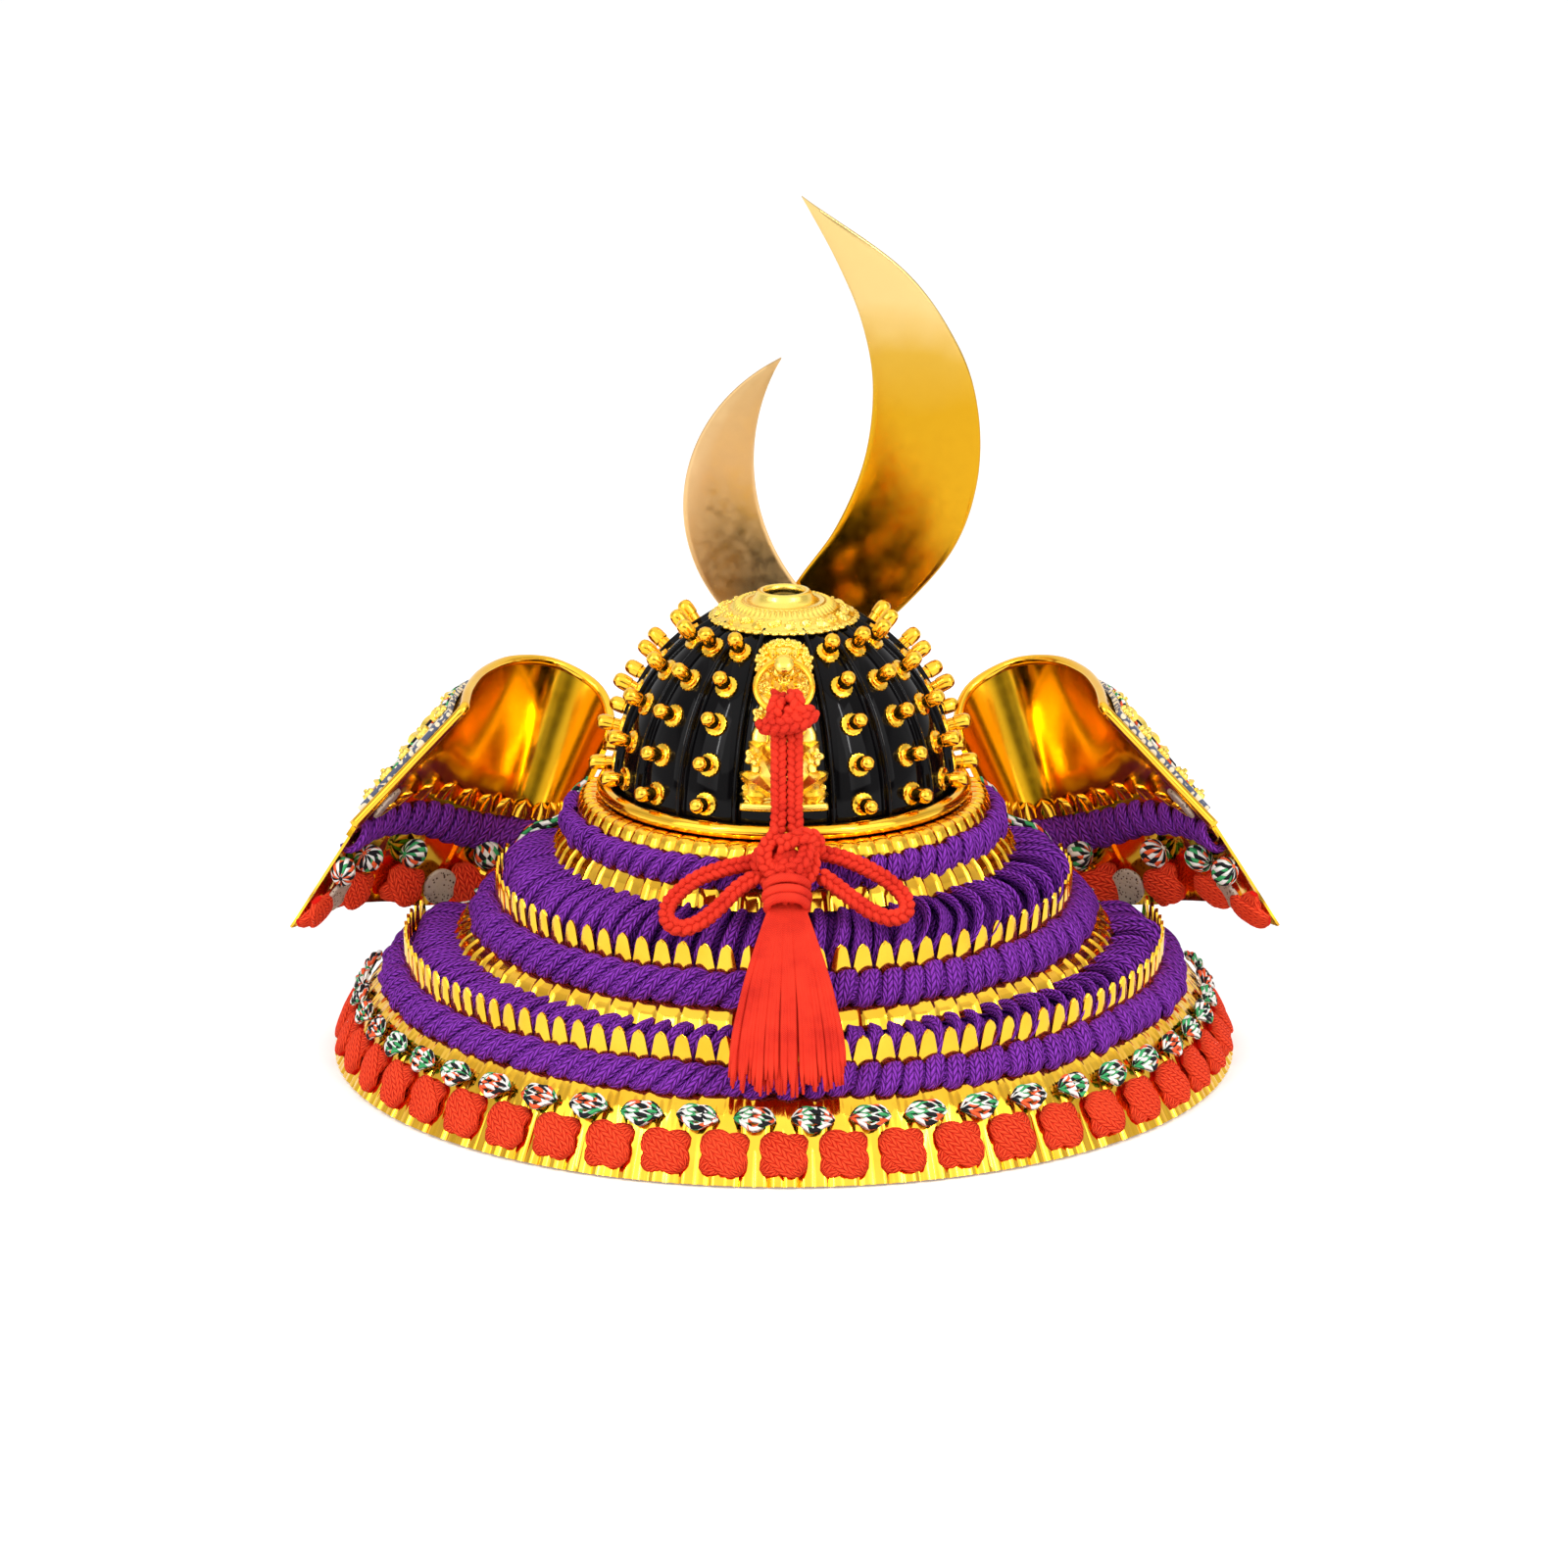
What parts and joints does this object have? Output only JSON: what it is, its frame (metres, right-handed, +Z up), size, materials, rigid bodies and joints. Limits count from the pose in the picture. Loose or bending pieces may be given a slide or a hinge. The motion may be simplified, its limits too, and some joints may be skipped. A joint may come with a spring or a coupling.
{
  "type": "display-size kabuto helmet",
  "caption": "Display-size samurai helmet: riveted ribbed bowl, laced flaring neck guard, turned-back wings, crescent crest and a tied red cord with tassel at the back.",
  "frame": {"origin": "middle of the whole helmet's box, cord left out, at the plane that the rim of the lowest hoop stands on", "axes": "+X towards the wearer's right, +Y towards the wearer's front, +Z up"},
  "size_m": [0.216, 0.1604, 0.1827],
  "materials": {
    "black_lacquer": "gloss",
    "gilt": "polished",
    "gilt_satin": "satin",
    "purple_lacing": "matte",
    "red_cord": "matte",
    "mixed_braid": "matte",
    "printed_leather": "satin",
    "grey_studs": "satin"
  },
  "bodies": {
    "root": {"bowl_shell": "black_lacquer", "crown_mount": "gilt", "rim_hoop": "gilt", "rear_plate": "gilt", "rear_ring": "gilt", "lame_1": "gilt", "lame_2": "gilt", "lame_3": "gilt", "rope_lacing_1": "purple_lacing", "rope_lacing_2": "purple_lacing", "rope_lacing_3": "purple_lacing", "hanging_lacing_1": "purple_lacing", "hanging_lacing_2": "purple_lacing", "edge_cord_left": "mixed_braid", "edge_cord_right": "mixed_braid", "wing_panel_left": "gilt", "wing_trim_left": "gilt", "wing_rope_left": "purple_lacing", "wing_band_left": "gilt", "wing_leather_left": "printed_leather", "wing_ornament_left": "gilt", "wing_disc_1_left": "grey_studs", "wing_disc_2_left": "grey_studs", "wing_disc_3_left": "grey_studs", "wing_panel_right": "gilt", "wing_trim_right": "gilt", "wing_rope_right": "purple_lacing", "wing_band_right": "gilt", "wing_leather_right": "printed_leather", "wing_ornament_right": "gilt", "wing_disc_1_right": "grey_studs", "wing_disc_2_right": "grey_studs", "wing_disc_3_right": "grey_studs", "visor": "black_lacquer", "visor_trim": "gilt", "crest_long_blade": "gilt", "crest_short_blade": "gilt_satin", "crest_holder": "gilt", "cord_strand_left": "red_cord", "cord_strand_right": "red_cord", "cord_loop_left": "red_cord", "cord_loop_right": "red_cord", "cord_knot": "red_cord", "cord_hitch": "red_cord", "tassel": "red_cord"}
  },
  "joints": []
}
